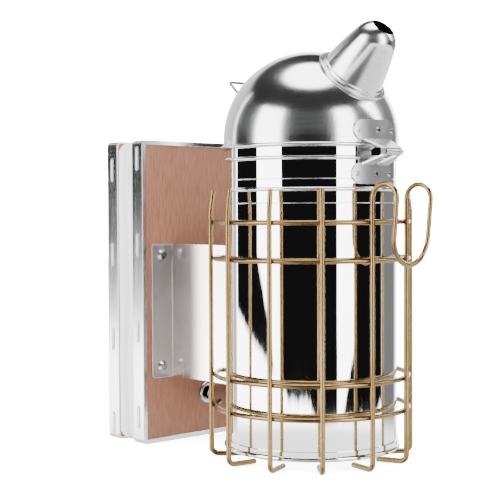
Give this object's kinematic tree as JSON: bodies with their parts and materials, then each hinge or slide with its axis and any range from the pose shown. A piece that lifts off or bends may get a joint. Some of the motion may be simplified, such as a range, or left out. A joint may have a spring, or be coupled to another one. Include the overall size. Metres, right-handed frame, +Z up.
{
  "type": "bee smoker",
  "caption": "Upright fire pot with a hinged domed lid, a leaning conical spout, a wire guard with a hanging hook, and spring bellows on a channel bracket.",
  "frame": {"origin": "on the resting plane, under the middle of the overall box", "axes": "+Z up along the pot, +X towards the front (spout, hinge and hook), -X towards the bellows, +Y to the left seen from behind"},
  "size_m": [0.2071, 0.1201, 0.2509],
  "materials": {
    "polished_steel": "mirror polished",
    "brushed_steel": "spun, brushed round",
    "satin_steel": "satin",
    "bracket_steel": "bright rolled sheet",
    "dull_steel": "dull",
    "dark_wire": "dark satin",
    "brass_wire": "bright brass plating",
    "board_wood": "smooth laminate with fine upright grain",
    "white_leather": "soft matt"
  },
  "bodies": {
    "pot": {"pot_body": "polished_steel", "pot_base": "polished_steel", "air_inlet": "brushed_steel", "hinge_lower_leaf": "satin_steel", "hinge_pin": "dark_wire", "lower_leaf_rivets": "satin_steel", "cage_hoop_1": "brass_wire", "cage_hoop_2": "brass_wire", "cage_hoop_3": "brass_wire", "cage_hoop_4": "brass_wire", "cage_upright_1": "brass_wire", "cage_upright_2": "brass_wire", "cage_upright_3": "brass_wire", "cage_upright_4": "brass_wire", "cage_upright_5": "brass_wire", "cage_upright_6": "brass_wire", "cage_upright_7": "brass_wire", "cage_upright_8": "brass_wire", "cage_hook": "brass_wire", "bracket": "bracket_steel", "bracket_rivets": "satin_steel", "bracket_screws": "satin_steel", "front_board": "board_wood", "front_band": "polished_steel", "front_staples": "satin_steel", "air_eyelet": "satin_steel", "bellows_leather": "white_leather", "bellows_spring": "dark_wire", "spring_clips_front": "dark_wire"},
    "lid": {"lid_dome": "brushed_steel", "spout": "brushed_steel", "spout_collar": "brushed_steel", "hinge_upper_leaf": "satin_steel", "upper_leaf_rivets": "satin_steel", "lift_loop": "dark_wire"},
    "rear_panel": {"rear_board": "board_wood", "rear_band": "polished_steel", "rear_staples": "satin_steel", "spring_clips_rear": "dark_wire"},
    "grate": {"fire_grate": "dull_steel", "grate_legs": "dull_steel"}
  },
  "joints": [
    {"name": "lid_hinge", "type": "hinge", "parent": "pot", "child": "lid", "pos_m": [0.09055, 0, 0.1775], "axis": [0, 1, 0], "range_deg": [0, 110]},
    {"name": "bellows_squeeze", "type": "slide", "parent": "pot", "child": "rear_panel", "axis": [1, 0, 0], "range_m": [0, 0.0095], "stiffness_N_per_m": 400, "springref_m": -0.01, "deforming": ["bellows_leather", "bellows_spring"]},
    {"name": "grate_lift", "type": "slide", "parent": "pot", "child": "grate", "axis": [0, 0, 1], "range_m": [0, 0.1]}
  ]
}
